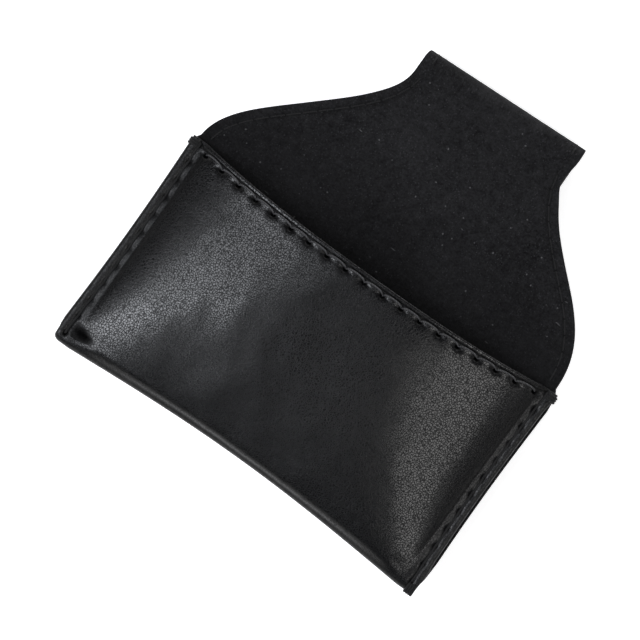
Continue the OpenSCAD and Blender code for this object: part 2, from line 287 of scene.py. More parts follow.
def front_rows(s):
    """The front panel's outer face from the mouth down and round the bottom fold."""
    x = s * HALF_W
    y0 = bottom_y(x)
    tall = mouth_y(x) - y0
    rows = []

    def add(y, roll):
        rise = (y - y0) / tall
        z = Z_ROLL + roll + BULGE * swell(x, rise) * lift(rise) * corner_fill(x, y - y0)
        right = s * side_x(y) - LAYER_SHIFT * layered(y) * np.maximum(s, 0) ** LAYER_EDGE_POWER
        rows.append(np.stack([right, y, z], 1))

    lip = np.array(LIP_ROWS) * MM
    foot = Y_BOTTOM + BOTTOM_REACH
    body = Y_MOUTH - seam_rows(foot, Y_MOUTH - LIP_BAND)[::-1]
    for down in np.concatenate([lip, body, [Y_MOUTH - foot]]) / (Y_MOUTH - foot):
        add(mouth_y(x) + down * (y0 + BOTTOM_REACH - mouth_y(x)), BOTTOM_R)
    for a in turns(90, 0, ROLL_ROWS):
        add(y0 + BOTTOM_REACH * (1 - math.cos(a)), BOTTOM_R * math.sin(a))
    for a in turns(0, -90, TUCK_ROWS):
        y = y0 + BOTTOM_R * (1 - math.cos(a))
        rows.append(np.stack([s * side_x(y), y, Z_ROLL + BOTTOM_R * math.sin(a) + 0 * x], 1))
    return rows


def back_rows(s):
    """The back panel's outer face, the inside of the top fold and the tongue's inner face."""
    start = bottom_y(s * HALF_W) + BOTTOM_R
    low = Y_BOTTOM + BOTTOM_R
    clear = 0.2 * MM
    pocket = seam_rows(low + clear, Y_MOUTH)
    panel = np.linspace(Y_MOUTH, Y_FOLD, PANEL_ROWS)
    rows = []
    for rise in (np.concatenate([pocket, panel]) - low) / (Y_FOLD - low):
        y = start + rise * (Y_FOLD - start)
        left, right = panel_edges(y)
        trim = NECK_TRIM * np.exp(-(((Y_FOLD - y - NECK_TRIM_DOWN) / NECK_TRIM_SPAN) ** 2))
        right = right + LAYER_SHIFT * layered(y) - trim
        rows.append(np.stack([(left + right) / 2 + s * (right - left) / 2, y, Z_BACK + 0 * y], 1))
    for a in turns(90, -90, FOLD_ROWS):
        y = Y_FOLD + LOOP_R * math.cos(a) + 0 * s
        rows.append(np.stack([NECK_X + s * NECK_HALF, y, Z_LOOP + LOOP_R * math.sin(a) + 0 * s], 1))
    straight = np.linspace(Y_FOLD, Y_TIP + TIP_CORNER, TONGUE_ROWS + 1)[1:]
    rounded = Y_TIP + TIP_CORNER * (1 - np.sin(turns(0, 90, TIP_ROWS)))
    for y in np.concatenate([straight, rounded]):
        rows.append(np.stack([NECK_X + s * tongue_half(y), y + 0 * s, Z_TONGUE + 0 * s], 1))
    return rows


def uneven_fold(back):
    """Skews the top fold a little and rounds its ends."""
    x, y = back[:, :, 0] - NECK_X, back[:, :, 1]
    fold_top = Y_FOLD + LOOP_R + SHEET_T
    for side, r in ((-1, FOLD_CORNER_LEFT), (1, FOLD_CORNER_RIGHT)):
        share = np.clip(1 - (fold_top - y) / r, 0, 1)
        inset = r * (1 - np.sqrt(1 - share**2))
        x = np.where(np.sign(x) == side, x * (1 - inset / NECK_HALF), x)
    past_fold = np.arange(len(back))[:, None] >= len(back) + TONGUE_START - 1
    reach = np.where(past_fold, TONGUE_SKEW_REACH, PANEL_SKEW_REACH)
    near = smooth(1 - (Y_FOLD - y) / reach)
    back[:, :, 0] = x + NECK_X
    back[:, :, 1] = y + FOLD_SKEW * np.clip(x, -NECK_HALF, NECK_HALF) * near


def grid_normals(grid):
    """Unit normals of a surface given as a grid of points. They point out of the leather's face."""
    along = np.gradient(grid, axis=0)
    across = np.gradient(grid, axis=1)
    normal = np.cross(along, across)
    length = np.linalg.norm(normal, axis=2, keepdims=True)
    return normal / np.maximum(length, 1e-12)


def path_length(grid):
    """How far each point lies along the sheet, measured down its middle column."""
    middle = grid[:, grid.shape[1] // 2]
    steps = np.linalg.norm(np.diff(middle, axis=0), axis=1)
    return np.concatenate([[0], np.cumsum(steps)])


# ---------------------------------------------------------------- seams

def spaced(path, pitch):
    """Points at even distances along a path, about a pitch apart."""
    path = np.array(path)
    steps = np.linalg.norm(np.diff(path, axis=0), axis=1)
    along = np.concatenate([[0], np.cumsum(steps)])
    count = max(1, round(along[-1] / pitch))
    at = np.linspace(0, along[-1], count + 1)
    return np.stack([np.interp(at, along, path[:, k]) for k in range(path.shape[1])], 1)


def front_height(x):
    """Height of the front at the mouth."""
    return Z_STRIP + BULGE * swell(x)


def mouth_holes():
    """The holes of the mouth's hem, from the left."""
    reach = HALF_W - 2 * INSET
    x = np.linspace(-reach, reach, round(2 * reach / SEAM_PITCH) + 1)
    return np.stack([x, mouth_y(x) - MOUTH_INSET, front_height(x)], 1)


def side_holes(side):
    """The holes of a side seam, from the lowest."""
    y = seam_heights()
    return np.stack([side * (side_x(y) - INSET), y, 0 * y + Z_STRIP], 1)


def panel_edge_holes(side):
    """The holes up one edge of the back panel, from the mouth to the fold."""
    y = np.linspace(Y_MOUTH + EDGE_START, Y_FOLD, PANEL_EDGE_POINTS)
    left, right = panel_edges(y)
    edge = np.stack([right if side > 0 else left, y], 1)
    along = np.gradient(edge, axis=0)
    along /= np.linalg.norm(along, axis=1, keepdims=True)
    inwards = side * np.stack([-along[:, 1], along[:, 0]], 1)
    return spaced(edge + INSET * inwards, EDGE_PITCH)


def tongue_edge_holes():
    """The holes round the tongue, from the right end of the fold to the left."""
    y = np.linspace(Y_FOLD, Y_TIP + TIP_CORNER, TONGUE_EDGE_POINTS)
    right = np.stack([NECK_X + tongue_half(y) - INSET, y], 1)
    turn = turns(0, 90, TIP_ROWS)
    r = TIP_CORNER - INSET
    cx = tongue_half(Y_TIP + TIP_CORNER) - TIP_CORNER
    corner = np.stack([NECK_X + cx + r * np.cos(turn), Y_TIP + TIP_CORNER - r * np.sin(turn)], 1)
    half = np.concatenate([right, corner])
    mirrored = half[::-1] * [-1, 1] + [2 * NECK_X, 0]
    return spaced(np.concatenate([half, mirrored]), EDGE_PITCH)


def pierced(points, holes, along, across, upright=False):
    """How near each point is to a row of oval holes, from 0 to 1 at a hole's middle."""
    flat = points.reshape(-1, points.shape[-1])[:, :2]
    radii = np.array([across, along] if upright else [along, across])
    share = np.zeros(len(flat))
    for hole in holes:
        away = np.sum(((flat - hole[:2]) / radii) ** 2, axis=1)
        share = np.maximum(share, np.exp(-away))
    return share.reshape(points.shape[:-1])


def grooved(points, path, width):
    """How near each point is to a line, from 0 to 1 on it."""
    flat = points.reshape(-1, points.shape[-1])[:, :2]
    near = np.full(len(flat), 1.0)
    for a, b in zip(path[:-1], path[1:]):
        d = b[:2] - a[:2]
        t = np.clip(((flat - a[:2]) @ d) / (d @ d), 0, 1)
        near = np.minimum(near, np.linalg.norm(flat - a[:2] - t[:, None] * d, axis=1))
    return np.exp(-((near / width) ** 4)).reshape(points.shape[:-1])


def wander(points, size, seed):
    """Smooth noise from -1 to 1 over the points. Each seed takes its own stretch of the noise."""
    flat = points.reshape(-1, 3)
    offset = Vector((seed * 7.3, seed * 3.1, seed * 5.7))
    values = [noise.noise(Vector(p) / size + offset) for p in flat]
    return np.array(values).reshape(points.shape[:-1])


# ---------------------------------------------------------------- meshes

def add_mesh(name, verts, faces, uvs=None, marks=None):
    """A smooth object, with its place on the flat sheet as UV and its marks as an attribute where given."""
    mesh = bpy.data.meshes.new(name)
    mesh.from_pydata([tuple(v) for v in verts], [], faces)
    if uvs is not None:
        layer = mesh.uv_layers.new(name="sheet")
        index = np.empty(len(mesh.loops), dtype=np.int32)
        mesh.loops.foreach_get("vertex_index", index)
        layer.data.foreach_set("uv", np.asarray(uvs, np.float32)[index].ravel())
    if marks is not None:
        layer = mesh.attributes.new("marks", "FLOAT", "POINT")
        layer.data.foreach_set("value", np.asarray(marks, np.float32))
    mesh.polygons.foreach_set("use_smooth", [True] * len(mesh.polygons))
    mesh.update()
    obj = bpy.data.objects.new(name, mesh)
    bpy.context.collection.objects.link(obj)
    return obj


def closed_sheet(name, layers, uv, marks):
    """A solid from a stack of grids: the first is the outer face, the last the inner, the others its edge."""
    rows, cols = layers[0].shape[:2]
    size = rows * cols
    last = (len(layers) - 1) * size
    at = np.arange(size).reshape(rows, cols)
    a, b, c, d = at[:-1, :-1], at[1:, :-1], at[1:, 1:], at[:-1, 1:]
    outer = np.stack([a, d, c, b], -1).reshape(-1, 4)
    inner = np.stack([a, b, c, d], -1).reshape(-1, 4) + last
    rim = np.concatenate([at[0, :-1], at[:-1, -1], at[-1, :0:-1], at[:0:-1, 0]])
    ring = np.stack([rim, np.roll(rim, -1)], 1)
    edge = []
    for k in range(len(layers) - 1):
        lo, hi = ring + k * size, ring + (k + 1) * size
        edge.append(np.stack([lo[:, 0], hi[:, 0], hi[:, 1], lo[:, 1]], 1))
    faces = np.concatenate([outer, inner] + edge)
    verts = np.concatenate([layer.reshape(-1, 3) for layer in layers])
    used = np.unique(faces)
    renumber = np.zeros(len(verts), int)
    renumber[used] = np.arange(len(used))
    uvs = np.concatenate([uv.reshape(-1, 2)] * len(layers))[used]
    marks = np.concatenate([marks.ravel()] * len(layers))[used]
    return add_mesh(name, verts[used], renumber[faces].tolist(), uvs, marks)


def tube(path, radius):
    """Vertices and faces of a closed tube along the path, narrower at its ends."""
    sides = 8
    path = np.array(path)
    ahead = np.gradient(path, axis=0)
    ahead /= np.linalg.norm(ahead, axis=1, keepdims=True)
    # A direction that no thread runs in
    up = np.array([0.31, 0.17, 0.93])
    end_share = 0.55
    taper = np.ones(len(path))
    taper[0] = taper[-1] = end_share
    verts, faces = [], []
    for k, (p, t) in enumerate(zip(path, ahead)):
        right = np.cross(t, up)
        right /= np.linalg.norm(right)
        above = np.cross(right, t)
        for i in range(sides):
            a = 2 * math.pi * i / sides
            verts.append(p + radius * taper[k] * (math.cos(a) * right + math.sin(a) * above))
    for k in range(len(path) - 1):
        for i in range(sides):
            j = (i + 1) % sides
            faces.append((k * sides + i, k * sides + j, (k + 1) * sides + j, (k + 1) * sides + i))
    faces.append(tuple(range(sides))[::-1])
    faces.append(tuple((len(path) - 1) * sides + i for i in range(sides)))
    return verts, faces


def joined_tubes(name, paths, radius):
    """One object of many lengths of thread."""
    verts, faces = [], []
    for path in paths:
        v, f = tube(path, radius)
        faces += [tuple(i + len(verts) for i in face) for face in f]
        verts += v
    return add_mesh(name, verts, faces)


def stitch_path(a, b, normal, proud, shift=0.0):
    """A thread that comes up at a, lies on the surface and goes down at b. It bows to one side by a shift."""
    a, b, normal = np.array(a), np.array(b), np.array(normal)
    run = b - a
    across = np.cross(run, normal)
    across /= np.linalg.norm(across)
    dive = 0.6 * MM
    down = [-dive, -0.3 * dive, 0.4 * proud]
    places = [0.0, 0.03, 0.09, 0.18, 0.32, 0.5, 0.68, 0.82, 0.91, 0.97, 1.0]
    heights = down + [proud] * 5 + down[::-1]
    sway = [0.2, 0.35, 0.6, 0.8, 0.95, 1, 0.95, 0.8, 0.6, 0.35, 0.2]
    return [a + p * run + h * normal + shift * w * across for p, h, w in zip(places, heights, sway)]


def wrapped_path(start, out, width, skew):
    """A turn of thread from a hole, over the sheet's edge and back to the hole from behind."""
    above_face, beyond_edge, dive = 0.12 * MM, 0.16 * MM, 0.5 * MM
    # The turn starts a share of the width out from the hole, and powers under 1 make it square
    near, square_out, square_up = 0.2, 0.4, 0.5
    count = 13
    out = np.array(out)
    along = np.array([-out[1], out[0]])
    middle = (Z_STRIP + Z_BACK) / 2
    half = (Z_STRIP - Z_BACK) / 2 + above_face
    sections = [(0.0, half - dive, 0.0)]
    for turn in np.linspace(90, -90, count):
        a = math.radians(turn)
        reach = near * width + ((1 - near) * width + beyond_edge) * math.cos(a) ** square_out
        height = half * math.copysign(abs(math.sin(a)) ** square_up, a)
        sections.append((reach, height, (90 - turn) / 180))
    sections.append((0.0, dive - half, 1.0))
    points = []
    for reach, height, share in sections:
        flat = np.array(start) + reach * out + skew * share * along
        points.append((flat[0], flat[1], middle + height))
    return points


# ---------------------------------------------------------------- materials

# Scale at which a texture's unit is a millimetre
PER_MM = (1000, 1000, 1000)
# Places of the colours among the sockets of a mix node
MIX_BELOW, MIX_ABOVE, MIX_RESULT = 6, 7, 2


class Nodes:
    """A short way to build a node tree."""

    def __init__(self, name):
        self.material = bpy.data.materials.new(name)
        self.material.use_nodes = True
        self.tree = self.material.node_tree
        self.tree.nodes.clear()
        self.shader = self.add("ShaderNodeBsdfPrincipled")
        out = self.add("ShaderNodeOutputMaterial")
        self.link(self.shader.outputs["BSDF"], out.inputs["Surface"])

    def add(self, kind, **values):
        """A node, with values for its settings or for its inputs."""
        node = self.tree.nodes.new(kind)
        for key, value in values.items():
            if hasattr(node, key) and key not in node.inputs:
                setattr(node, key, value)
            else:
                node.inputs[key.replace("_", " ")].default_value = value
        return node

    def link(self, a, b):
        self.tree.links.new(a, b)

    def coords(self, kind):
        """Coordinates in millimetres."""
        source = self.add("ShaderNodeTexCoord")
        mapping = self.add("ShaderNodeMapping")
        mapping.inputs["Scale"].default_value = PER_MM
        self.link(source.outputs[kind], mapping.inputs["Vector"])
        return mapping.outputs["Vector"]

    def noise(self, vector, scale, detail, roughness=0.5):
        node = self.add("ShaderNodeTexNoise", Scale=scale, Detail=detail, Roughness=roughness)
        self.link(vector, node.inputs["Vector"])
        return node.outputs["Fac"]

    def cells(self, vector, scale, feature="F1"):
        """A pattern of irregular cells."""
        node = self.add("ShaderNodeTexVoronoi", feature=feature, Scale=scale)
        self.link(vector, node.inputs["Vector"])
        return node

    def ramp(self, value, stops):
        """The value turned into a colour, or a grey, by stops of a place and a colour."""
        node = self.add("ShaderNodeValToRGB")
        ramp = node.color_ramp
        while len(ramp.elements) < len(stops):
            ramp.elements.new(0.5)
        for element, (place, colour) in zip(ramp.elements, stops):
            element.position = place
            element.color = colour if isinstance(colour, tuple) else (colour, colour, colour, 1)
        self.link(value, node.inputs["Fac"])
        return node.outputs["Color"]

    def math(self, operation, a, b):
        """Arithmetic on two values, each a number or a socket."""
        node = self.add("ShaderNodeMath", operation=operation)
        for socket, value in zip(node.inputs, (a, b)):
            if isinstance(value, (int, float)):
                socket.default_value = value
            else:
                self.link(value, socket)
        return node.outputs["Value"]

    def attribute(self, name):
        return self.add("ShaderNodeAttribute", attribute_name=name).outputs["Fac"]

    def shifted(self, vector, scale, amount):
        """The coordinates pushed about by noise, so that what is drawn on them isn't regular."""
        node = self.add("ShaderNodeTexNoise", Scale=scale, Detail=1.0)
        self.link(vector, node.inputs["Vector"])
        push = self.add("ShaderNodeVectorMath", operation="SCALE")
        self.link(node.outputs["Color"], push.inputs[0])
        push.inputs["Scale"].default_value = amount
        total = self.add("ShaderNodeVectorMath", operation="ADD")
        self.link(vector, total.inputs[0])
        self.link(push.outputs["Vector"], total.inputs[1])
        return total.outputs["Vector"]

    def specks(self, vector, stretch, scale, size, share):
        """Spots, one in some of the cells: a share of them, each of a size against its cell."""
        mapping = self.add("ShaderNodeMapping")
        mapping.inputs["Scale"].default_value = stretch
        self.link(vector, mapping.inputs["Vector"])
        cell = self.cells(mapping.outputs["Vector"], scale)
        spot = self.ramp(cell.outputs["Distance"], [(0.5 * size, 1.0), (size, 0.0)])
        split = self.add("ShaderNodeSeparateColor")
        self.link(cell.outputs["Color"], split.inputs["Color"])
        return self.math("MULTIPLY", spot, self.math("LESS_THAN", split.outputs["Red"], share))

    def mixed(self, share, below, colour):
        """The colour below with a share of another laid over it."""
        mix = self.add("ShaderNodeMix", data_type="RGBA")
        self.link(share, mix.inputs["Factor"])
        self.link(below, mix.inputs[MIX_BELOW])
        mix.inputs[MIX_ABOVE].default_value = colour
        return mix.outputs[MIX_RESULT]

    def bump(self, height, strength, distance, below=None):
        """A normal that shows the height, on top of the normal below where one is given."""
        node = self.add("ShaderNodeBump", Strength=strength, Distance=distance)
        self.link(height, node.inputs["Height"])
        if below is not None:
            self.link(below, node.inputs["Normal"])
        return node.outputs["Normal"]


def leather_material():
    """Glossy black leather: pebbles that shine between dull creases, slight wear, and painted shade in its
    stitch holes, seam grooves and corner pinches.
    """
    n = Nodes("pebble_leather")
    at = n.coords("UV")
    marks = n.attribute("marks")
    bent = n.shifted(at, 2.0, 0.55)
    wobble = n.noise(at, 0.9, 3)
    cracks = n.cells(bent, 1.9, "DISTANCE_TO_EDGE")
    fine = n.cells(bent, 4.4, "DISTANCE_TO_EDGE")
    valley = n.ramp(cracks.outputs["Distance"], [(0.0, 0.0), (0.07, 0.25), (0.15, 1.0)])
    tiny = n.ramp(fine.outputs["Distance"], [(0.0, 0.0), (0.12, 1.0)])
    grain = n.math("ADD", n.math("MULTIPLY", valley, 0.8), n.math("MULTIPLY", tiny, 0.2))
    creases = n.noise(at, 0.13, 5, 0.62)
    patches = n.noise(at, 0.035, 3, 0.55)
    coarse = n.bump(creases, 0.12, 0.0007)
    normal = n.bump(grain, 0.30, 0.00005, coarse)
    n.link(normal, n.shader.inputs["Normal"])
    tint = n.ramp(patches, [(0.3, (0.0020, 0.0020, 0.0024, 1)), (0.7, (0.0038, 0.0037, 0.0040, 1))])
    # The marks attribute is painted shade: it darkens the colour, dulls the surface and cuts its specular
    n.link(n.mixed(marks, tint, (0.0004, 0.0004, 0.0005, 1)), n.shader.inputs["Base Color"])
    worn = n.math("ADD", n.math("MULTIPLY", patches, 0.6), n.math("MULTIPLY", wobble, 0.4))
    shine = n.ramp(worn, [(0.3, 0.095), (0.72, 0.145)])
    rough = n.math("ADD", shine, n.math("MULTIPLY", n.math("SUBTRACT", 1.0, grain), 0.34))
    n.link(n.math("MAXIMUM", rough, marks), n.shader.inputs["Roughness"])
    open_to_light = n.math("SUBTRACT", 1.0, marks)
    proud = n.math("ADD", 0.15, n.math("MULTIPLY", grain, 0.42))
    n.link(n.math("MULTIPLY", open_to_light, proud), n.shader.inputs["Specular IOR Level"])
    return n.material


def velour_material():
    """Matt black velour: a short uneven pile, brushed this way and that, with specks and hairs of lint, and
    painted shade where its marks lie.
    """
    n = Nodes("black_velour")
    at = n.coords("UV")
    marks = n.attribute("marks")
    pile = n.noise(at, 1.7, 4, 0.8)
    tufts = n.noise(at, 0.55, 4, 0.7)
    brushed = n.noise(at, 0.05, 3, 0.6)
    flecks = n.specks(at, (1, 1, 1), 1.9, 0.36, 0.24)
    lint = n.specks(n.shifted(at, 1.5, 0.4), (1, 1, 1), 0.42, 0.10, 0.5)
    hairs = n.specks(n.shifted(at, 0.35, 1.6), (0.20, 1.5, 1), 0.5, 0.10, 0.18)
    shade = n.math("ADD", n.math("MULTIPLY", tufts, 0.3), n.math("MULTIPLY", pile, 0.5))
    shade = n.math("ADD", shade, n.math("MULTIPLY", brushed, 0.2))
    base = n.ramp(shade, [(0.36, (0.0010, 0.0010, 0.0012, 1)), (0.66, (0.0310, 0.0310, 0.0330, 1))])
    base = n.mixed(n.math("MULTIPLY", flecks, 0.6), base, (0.048, 0.048, 0.051, 1))
    base = n.mixed(n.math("MAXIMUM", lint, n.math("MULTIPLY", hairs, 0.8)), base, (0.12, 0.12, 0.124, 1))
    # The marks darken the pile: painted shade in stitch holes and grooves, and a painted shadow near the
    # mouth
    n.link(n.mixed(marks, base, (0.0030, 0.0030, 0.0032, 1)), n.shader.inputs["Base Color"])
    relief = n.math("ADD", n.math("MULTIPLY", tufts, 0.5), pile)
    n.link(n.bump(relief, 0.9, 0.00035), n.shader.inputs["Normal"])
    n.shader.inputs["Roughness"].default_value = 0.95
    n.shader.inputs["Specular IOR Level"].default_value = 0.12
    n.shader.inputs["Sheen Weight"].default_value = 0.06
    n.shader.inputs["Sheen Roughness"].default_value = 0.45
    tint = n.ramp(tufts, [(0.3, (0.3, 0.3, 0.31, 1)), (0.7, (0.7, 0.7, 0.72, 1))])
    n.link(tint, n.shader.inputs["Sheen Tint"])
    return n.material


def thread_material(name, dark, light, dullness):
    """Black thread with the twist of its strands, between two shades."""
    n = Nodes(name)
    at = n.coords("Object")
    kind = {"wave_type": "BANDS", "bands_direction": "DIAGONAL"}
    wave = n.add("ShaderNodeTexWave", **kind, Scale=0.9, Distortion=1.2)
    n.link(at, wave.inputs["Vector"])
    fuzz = n.noise(at, 6.0, 2)
    shade = n.math("ADD", n.math("MULTIPLY", wave.outputs["Fac"], 0.6), n.math("MULTIPLY", fuzz, 0.4))
    stops = [(0.2, (dark, dark, dark * 1.1, 1)), (0.8, (light, light, light * 1.06, 1))]
    n.link(n.ramp(shade, stops), n.shader.inputs["Base Color"])
    n.link(n.bump(wave.outputs["Fac"], 0.6, 0.0001), n.shader.inputs["Normal"])
    n.link(n.ramp(fuzz, [(0.3, dullness), (0.7, dullness + 0.15)]), n.shader.inputs["Roughness"])
    return n.material


def nickel_material():
    """Nickel-plated snap parts with fine handling marks."""
    n = Nodes("nickel_plate")
    at = n.coords("Object")
    marks = n.noise(at, 2.2, 6, 0.7)
    plate = n.ramp(marks, [(0.3, (0.50, 0.49, 0.46, 1)), (0.75, (0.68, 0.67, 0.64, 1))])
    n.link(plate, n.shader.inputs["Base Color"])
    n.link(n.ramp(marks, [(0.3, 0.20), (0.75, 0.36)]), n.shader.inputs["Roughness"])
    n.link(n.bump(marks, 0.15, 0.00005), n.shader.inputs["Normal"])
    n.shader.inputs["Metallic"].default_value = 1.0
    return n.material


def dress(obj, material):
    """Gives an object one material in place of those that it has."""
    obj.data.materials.clear()
    obj.data.materials.append(material)


# ---------------------------------------------------------------- the sheet of leather and its lining

def sheet_grid():
    """The places of the columns, the leather's outer face as a grid, and how many of its rows are front."""
    s = columns()
    front = front_rows(s)
    grid = np.array(front + back_rows(s))
    uneven_fold(grid[len(front):])
    return s, grid, len(front)


def darken(marks, share):
    """Raises the marks, painted shade that makes the material dark and dull, to at least a share."""
    marks[:] = np.maximum(marks, share)


def press_mouth(upper, depth, marks):
    """The mouth's hem: a bead along the lip, a groove under it for the thread, and the stitch holes."""
    bead_down, bead_half, bead_height = 0.55 * MM, 0.4 * MM, 0.08 * MM
    groove_half, groove_depth = 0.20 * MM, 0.24 * MM
    hole_half, hole_depth = (0.66 * MM, 0.46 * MM), 0.70 * MM
    pull_half, pull_depth = (1.5 * MM, 1.2 * MM), 0.14 * MM
    side_fade = 3 * MM
    below = mouth_y(upper[:, :, 0]) - upper[:, :, 1]
    within = smooth((HALF_W - np.abs(upper[:, :, 0])) / side_fade - 0.3)
    bead = within * np.exp(-(((below - bead_down) / bead_half) ** 2))
    groove = within * np.exp(-(((below - LIP) / groove_half) ** 2))
    holes = mouth_holes()
    near = pierced(upper, holes, *hole_half)
    pull = pierced(upper, holes, *pull_half)
    depth += groove_depth * groove - bead_height * bead + hole_depth * near + pull_depth * pull
    # Painted shade: the holes and the groove under the lip are darkened where shade falls in them
    darken(marks, np.clip(2.2 * near, 0, 1))
    darken(marks, 0.55 * groove)


def press_side(part, depth, marks, side, face, strength):
    """A side seam: a groove inside its strip, with stitch holes in it. Its holes and groove get painted
    shade, darkest at the bottom, and its strip a little.
    """
    groove_half, groove_depth = 0.5 * MM, 0.18 * MM
    hole_half, hole_depth = (0.80 * MM, 0.56 * MM), 0.60 * MM
    usual, spread, weakest, strongest, uneven_size = 0.7, 0.5, 0.25, 1.1, 8 * MM
    upper_share, lower_reach = 0.45, 26 * MM
    strip_width, strip_fade = 5.4 * MM, 1.1 * MM
    holes = side_holes(side)
    groove = grooved(part, holes, groove_half)
    uneven = np.clip(usual + spread * wander(part, uneven_size, SEAM_SEED + side), weakest, strongest)
    near = uneven * pierced(part, holes, *hole_half, upright=True)
    lower = upper_share + (1 - upper_share) * (1 - smooth((part[:, :, 1] - Y_BOTTOM) / lower_reach))
    strip = smooth((side * part[:, :, 0] - HALF_W + strip_width) / strip_fade)
    depth += strength * face * (groove_depth * groove + hole_depth * near)
    # Painted shade in the holes and the groove, stronger towards the bottom, and a little over the strip
    darken(marks, strength * face * lower * np.clip(2.4 * near, 0, 1))
    darken(marks, strength * face * lower * 0.75 * groove)
    darken(marks, strength * face * 0.28 * strip)


def press_corner(part, depth, marks, side, face):
    """The pinch in the front where the bottom fold meets a side seam, deeper on the left, with painted shade
    in it.
    """
    from_side, above_bottom = 6.0 * MM, 4.3 * MM
    half_length, half_height, pinch_depth = 3.1 * MM, 1.5 * MM, 0.5 * MM
    slant, narrowing = 0.1, 0.15
    strength = 1.0 if side < 0 else 0.3
    x = HALF_W - from_side - side * part[:, :, 0]
    y = part[:, :, 1] - (Y_BOTTOM + above_bottom)
    away = (x / half_length) ** 2 + ((y + slant * x) / (half_height - narrowing * x)) ** 2
    pinch = face * strength * np.exp(-(away**2))
    depth += pinch_depth * pinch
    # Painted shade in the pinch
    darken(marks, 0.9 * pinch)


def handled_leather(grid, count):
    """How deep the leather is dented, and its painted shade: the front wavers and is drawn in at its seams.
    """
    depth = np.zeros(grid.shape[:2])
    marks = np.zeros(grid.shape[:2])
    front = slice(0, count)
    behind = slice(count + SEAMED_ROWS[0], count + SEAMED_ROWS[1])
    behind_strength = 0.7
    upper = grid[front]
    on_face = np.clip((upper[:, :, 2] - Z_ROLL) / BOTTOM_R, 0, 1)
    full = swell(upper[:, :, 0]) * on_face
    for height, size, seed in FACE_WAVES:
        depth[front] += full * height * wander(upper, size, seed)
    press_mouth(upper, depth[front], marks[front])
    for side in (-1, 1):
        press_side(upper, depth[front], marks[front], side, on_face, 1.0)
        press_corner(upper, depth[front], marks[front], side, on_face)
        press_side(grid[behind], depth[behind], marks[behind], side, 1.0, behind_strength)
    return depth, marks


def stitched_pile(grid, count):
    """Share by which stitches press the velour down, up the panel's edges and round the tongue; it also
    paints shade there.
    """
    hole_half, groove_half = 0.6 * MM, 0.5 * MM
    pressed = np.zeros(grid.shape[:2])
    panel = slice(count + EDGED_ROWS[0], count + EDGED_ROWS[1])
    tongue = slice(TONGUE_START, None)
    seams = ((panel, panel_edge_holes(-1)), (panel, panel_edge_holes(1)), (tongue, tongue_edge_holes()))
    for part, holes in seams:
        near = pierced(grid[part], holes, hole_half, hole_half)
        groove = grooved(grid[part], holes, groove_half)
        darken(pressed[part], np.maximum(near, 0.6 * groove))
    return pressed


def painted_mouth_shadow(grid, count):
    """Share of painted shadow on the velour near the mouth, where the pocket's front shades it."""
    reach = 26 * MM
    worn = np.zeros(grid.shape[:2])
    panel = slice(count, TONGUE_START)
    # Painted shadow, strongest at the mouth's height and fading above and below it
    worn[panel] = 0.65 * smooth(1 - np.abs(grid[panel, :, 1] - Y_MOUTH) / reach)
    return worn


def build_sheets(leather, velour):
    """The leather and the velour that lines it, each one closed sheet."""
    edge_width, edge_round = 0.75 * MM, 0.42 * MM
    mouth_round, tip_round = (0.26 * MM, 0.06 * MM), 0.25 * MM
    pile_edge, pile_height, pile_size, pile_press = 0.10 * MM, 0.04 * MM, 1.3 * MM, 0.22 * MM
    # Shares of a dent in the leather that reach its inner face and the lining's pile
    through_leather, through_lining = 0.3, 0.2
    s, grid, count = sheet_grid()
    normals = grid_normals(grid)
    travel = path_length(grid)
    uv = np.stack([grid[:, :, 0], np.repeat(travel[:, None], len(s), 1)], 2)
    depth, marks = handled_leather(grid, count)

    def inwards(level):
        return grid - normals * level[:, :, None]

    edge = np.clip(1 - (1 - np.abs(s)) * HALF_W / edge_width, 0, 1) ** 2
    ends = np.zeros(len(grid))
    ends[:2] = mouth_round
    ends[-1] = tip_round
    outer = depth + edge_round * edge + ends[:, None]
    inner = LEATHER_T + through_leather * depth
    # A line along the cut edge, nearer to the outer face
    middle = 0.3 * outer + 0.35 * inner
    sheet = closed_sheet("leather_sheet", [inwards(outer), inwards(middle), inwards(inner)], uv, marks)
    dress(sheet, leather)

    pressed = stitched_pile(grid, count)
    pile = pile_height * wander(grid, pile_size, PILE_SEED) - pile_press * pressed
    top = SHEET_T + through_lining * depth - pile_edge * edge + pile
    # Painted shade on the velour: in the stitches' holes and grooves, and the painted shadow near the mouth
    shade = 0.75 * np.maximum(pressed, painted_mouth_shadow(grid, count))
    layers = [inwards(inner), inwards((inner + top) / 2), inwards(top)]
    lining = closed_sheet("velour_lining", layers, uv, shade)
    dress(lining, velour)

    return sheet, lining


# ---------------------------------------------------------------- threads

def build_mouth_thread():
    """The hem's stitches: on the front, where each bows towards the lip, and inside the pocket."""
    proud, inner_proud, bow = 0.10 * MM, 0.06 * MM, -0.85 * MM
    holes = mouth_holes()
    slope = np.gradient(front_height(holes[:, 0]), holes[:, 0])
    paths = []
    for k in range(len(holes) - 1):
        tilt = (slope[k] + slope[k + 1]) / 2
        normal = np.array([-tilt, 0, 1]) / math.hypot(tilt, 1)
        paths.append(stitch_path(holes[k], holes[k + 1], normal, proud, bow))
        inside = [holes[k] - SHEET_T * normal, holes[k + 1] - SHEET_T * normal]
        paths.append(stitch_path(*inside, -normal, inner_proud))
    return joined_tubes("mouth_stitches", paths, MOUTH_THREAD_R)


